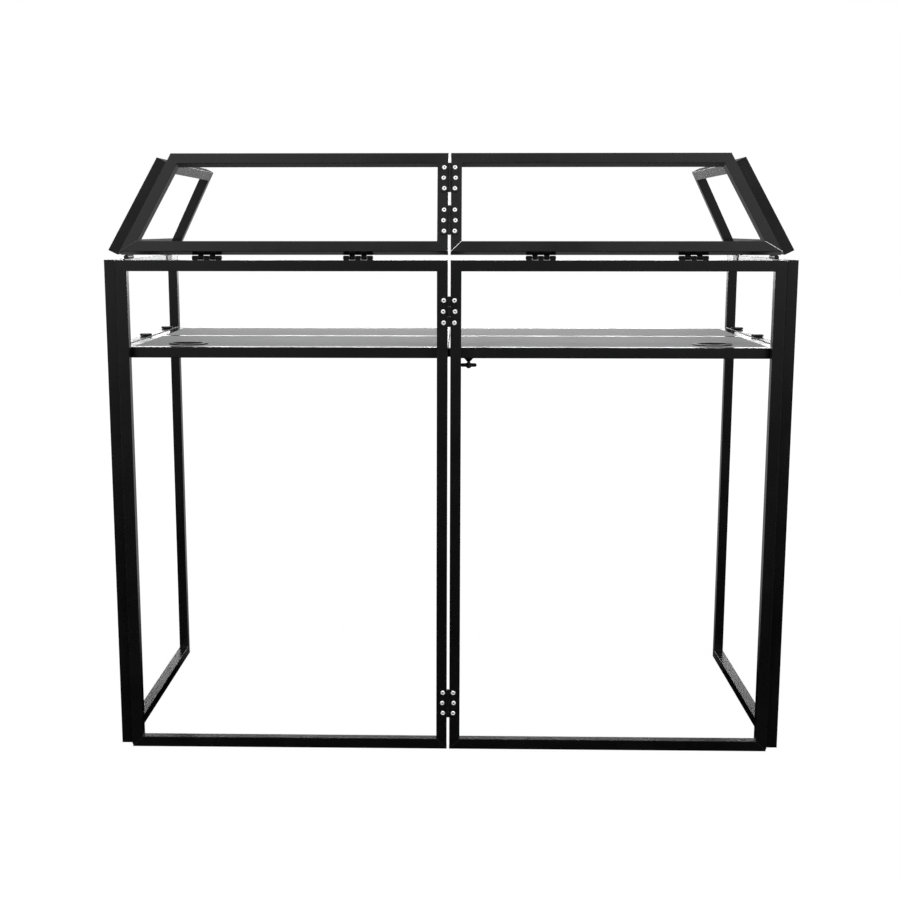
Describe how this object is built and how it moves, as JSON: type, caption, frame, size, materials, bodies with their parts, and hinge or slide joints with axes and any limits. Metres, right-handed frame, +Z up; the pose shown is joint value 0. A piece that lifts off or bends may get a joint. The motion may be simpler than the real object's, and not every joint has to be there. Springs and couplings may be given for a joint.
{
  "type": "folding dj booth",
  "caption": "Folding DJ booth of black box-section frames: hinged front and side screens, leaning top screens, and a grey table in two halves with cable grommets.",
  "frame": {"origin": "on the floor under the middle of the footprint", "axes": "+X to the audience's right, -Y towards the audience, +Z up"},
  "size_m": [1.2828, 0.648, 1.1292],
  "materials": {
    "frame_black": "satin black powder coat",
    "table_rail": "satin black powder coat",
    "board_grey": "dark laminate, fine grain, low sheen",
    "batten_grey": "black powder coat",
    "grommet_black": "moulded black plastic",
    "hinge_black": "black powder coat",
    "pin_steel": "bright drawn steel",
    "rivet_silver": "bright aluminium",
    "knob_black": "moulded black plastic",
    "bar_black": "black powder coat",
    "wing_black": "black coated die casting",
    "tab_black": "black powder coat",
    "insert_brass": "plain brass"
  },
  "bodies": {
    "front_left": {"front_frame_left": "frame_black", "centre_leaves_left": "hinge_black", "centre_pins": "pin_steel", "front_corner_leaves_left": "hinge_black", "corner_pins_left": "pin_steel", "front_tilt_leaves_left": "hinge_black", "front_tilt_pins_left": "pin_steel", "front_rivets_left": "rivet_silver"},
    "front_right": {"front_frame_right": "frame_black", "centre_leaves_right": "hinge_black", "front_corner_leaves_right": "hinge_black", "corner_pins_right": "pin_steel", "front_tilt_leaves_right": "hinge_black", "front_tilt_pins_right": "pin_steel", "front_rivets_right": "rivet_silver"},
    "side_left": {"side_frame_left": "frame_black", "side_corner_leaves_left": "hinge_black", "side_tilt_leaves_left": "hinge_black", "side_tilt_pins_left": "pin_steel", "side_rivets_left": "rivet_silver", "support_tabs_left": "tab_black", "knob_inserts_left": "insert_brass"},
    "top_front_left": {"top_front_frame_left": "frame_black", "top_centre_leaves_left": "hinge_black", "top_front_tilt_leaves_left": "hinge_black", "top_front_rivets_left": "rivet_silver", "top_centre_pins": "pin_steel"},
    "top_side_left": {"top_side_frame_left": "frame_black", "top_side_tilt_leaves_left": "hinge_black", "top_side_rivets_left": "rivet_silver"},
    "side_right": {"side_frame_right": "frame_black", "side_corner_leaves_right": "hinge_black", "side_tilt_leaves_right": "hinge_black", "side_tilt_pins_right": "pin_steel", "side_rivets_right": "rivet_silver", "support_tabs_right": "tab_black", "knob_inserts_right": "insert_brass"},
    "top_front_right": {"top_front_frame_right": "frame_black", "top_centre_leaves_right": "hinge_black", "top_front_tilt_leaves_right": "hinge_black", "top_front_rivets_right": "rivet_silver"},
    "top_side_right": {"top_side_frame_right": "frame_black", "top_side_tilt_leaves_right": "hinge_black", "top_side_rivets_right": "rivet_silver"},
    "table": {"table_frame_left": "table_rail", "table_frame_right": "table_rail", "boards_left": "board_grey", "boards_right": "board_grey", "battens_left": "batten_grey", "battens_right": "batten_grey", "grommet_left": "grommet_black", "grommet_right": "grommet_black", "joining_bar": "bar_black", "clamp_boss": "bar_black"},
    "wing_screw": {"wing_screw": "wing_black"},
    "knob_front_left": {"knob_front_left": "knob_black"},
    "knob_rear_left": {"knob_rear_left": "knob_black"},
    "knob_front_right": {"knob_front_right": "knob_black"},
    "knob_rear_right": {"knob_rear_right": "knob_black"}
  },
  "joints": [
    {"name": "centre_fold", "type": "hinge", "parent": "front_left", "child": "front_right", "pos_m": [0, -0.321, 0], "axis": [0, 0, -1], "range_deg": [0, 180]},
    {"name": "corner_fold_left", "type": "hinge", "parent": "front_left", "child": "side_left", "pos_m": [-0.616, -0.295, 0], "axis": [0, 0, 1], "range_deg": [0, 90]},
    {"name": "corner_fold_right", "type": "hinge", "parent": "front_right", "child": "side_right", "pos_m": [0.616, -0.295, 0], "axis": [0, 0, -1], "range_deg": [0, 90]},
    {"name": "tilt_front_left", "type": "hinge", "parent": "front_left", "child": "top_front_left", "pos_m": [0, -0.2941, 0.939], "axis": [1, 0, 0], "range_deg": [0, 20]},
    {"name": "tilt_front_right", "type": "hinge", "parent": "front_right", "child": "top_front_right", "pos_m": [0, -0.2941, 0.939], "axis": [1, 0, 0], "range_deg": [0, 20]},
    {"name": "tilt_side_left", "type": "hinge", "parent": "side_left", "child": "top_side_left", "pos_m": [-0.6151, 0, 0.939], "axis": [0, -1, 0], "range_deg": [0, 26]},
    {"name": "tilt_side_right", "type": "hinge", "parent": "side_right", "child": "top_side_right", "pos_m": [0.6151, 0, 0.939], "axis": [0, 1, 0], "range_deg": [0, 26]},
    {"name": "table_lift", "type": "slide", "parent": "front_left", "child": "table", "axis": [0, 0, 1], "range_m": [0, 0.12]},
    {"name": "wing_turn", "type": "hinge", "parent": "table", "child": "wing_screw", "pos_m": [0.0366, -0.2795, 0.745], "axis": [0, 0, 1], "continuous": true},
    {"name": "knob_turn_front_left", "type": "hinge", "parent": "side_left", "child": "knob_front_left", "pos_m": [-0.629, 0.0015, 0.776], "axis": [0, 0, 1], "continuous": true},
    {"name": "knob_turn_rear_left", "type": "hinge", "parent": "side_left", "child": "knob_rear_left", "pos_m": [-0.629, 0.2225, 0.776], "axis": [0, 0, 1], "continuous": true},
    {"name": "knob_turn_front_right", "type": "hinge", "parent": "side_right", "child": "knob_front_right", "pos_m": [0.629, 0.0015, 0.776], "axis": [0, 0, 1], "continuous": true},
    {"name": "knob_turn_rear_right", "type": "hinge", "parent": "side_right", "child": "knob_rear_right", "pos_m": [0.629, 0.2225, 0.776], "axis": [0, 0, 1], "continuous": true}
  ],
  "couplings": [
    {"joint": "tilt_front_right", "follows": "tilt_front_left", "ratio": 1}
  ]
}
